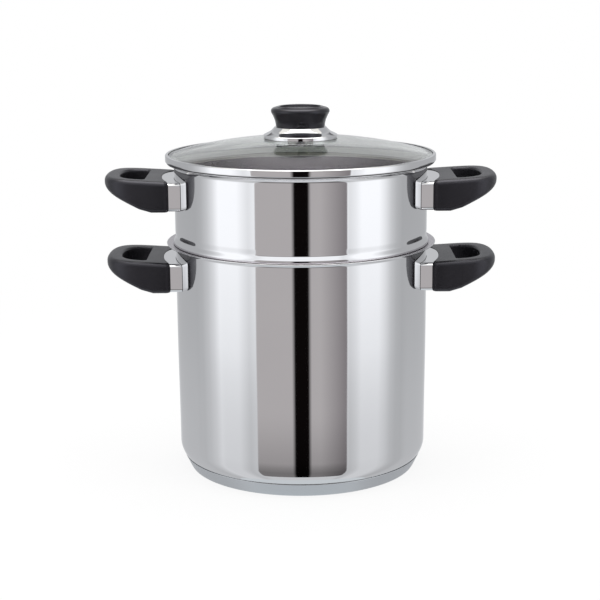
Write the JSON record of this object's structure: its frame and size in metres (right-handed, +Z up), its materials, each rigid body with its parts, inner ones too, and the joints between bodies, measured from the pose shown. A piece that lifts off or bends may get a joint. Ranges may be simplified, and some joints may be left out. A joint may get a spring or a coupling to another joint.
{
  "type": "couscoussier",
  "caption": "Polished steel stew pot with a nesting perforated steamer, a domed glass lid with a knob, and dark side handles on both vessels",
  "frame": {"origin": "on the table under the middle of the pot's base", "axes": "+X through the handles, to the right as seen in the picture; +Y away from the viewer; +Z up"},
  "size_m": [0.3706, 0.2566, 0.3486],
  "materials": {
    "polished_steel": "mirror-polished stainless steel",
    "satin_steel": "satin stainless steel",
    "aluminium_core": "bare rolled aluminium",
    "dark_resin": "semi-matt moulded phenolic resin",
    "lid_glass": "clear tempered glass, faintly green",
    "brass_insert": "turned brass",
    "silicone": "matt grey silicone"
  },
  "bodies": {
    "pot": {"pot_body": "polished_steel", "base_core": "aluminium_core", "base_cap": "satin_steel", "pot_left_grip": "dark_resin", "pot_left_flame_guard": "polished_steel", "pot_left_weld_bracket": "satin_steel", "pot_left_screw": "satin_steel", "pot_left_washer": "satin_steel", "pot_right_grip": "dark_resin", "pot_right_flame_guard": "polished_steel", "pot_right_weld_bracket": "satin_steel", "pot_right_screw": "satin_steel", "pot_right_washer": "satin_steel"},
    "steamer": {"steamer_body": "polished_steel", "steamer_left_grip": "dark_resin", "steamer_left_flame_guard": "polished_steel", "steamer_left_weld_bracket": "satin_steel", "steamer_left_screw": "satin_steel", "steamer_left_washer": "satin_steel", "steamer_right_grip": "dark_resin", "steamer_right_flame_guard": "polished_steel", "steamer_right_weld_bracket": "satin_steel", "steamer_right_screw": "satin_steel", "steamer_right_washer": "satin_steel"},
    "lid": {"lid_glass": "lid_glass", "lid_rim": "polished_steel", "knob_skirt": "polished_steel", "knob_grip": "dark_resin", "knob_insert": "brass_insert", "knob_screw": "satin_steel", "knob_washer": "satin_steel", "knob_gasket": "silicone"}
  },
  "joints": [
    {"name": "steamer_lift", "type": "slide", "parent": "pot", "child": "steamer", "axis": [0, 0, 1], "range_m": [0, 0.15]},
    {"name": "lid_lift", "type": "slide", "parent": "steamer", "child": "lid", "axis": [0, 0, 1], "range_m": [0, 0.12]}
  ]
}
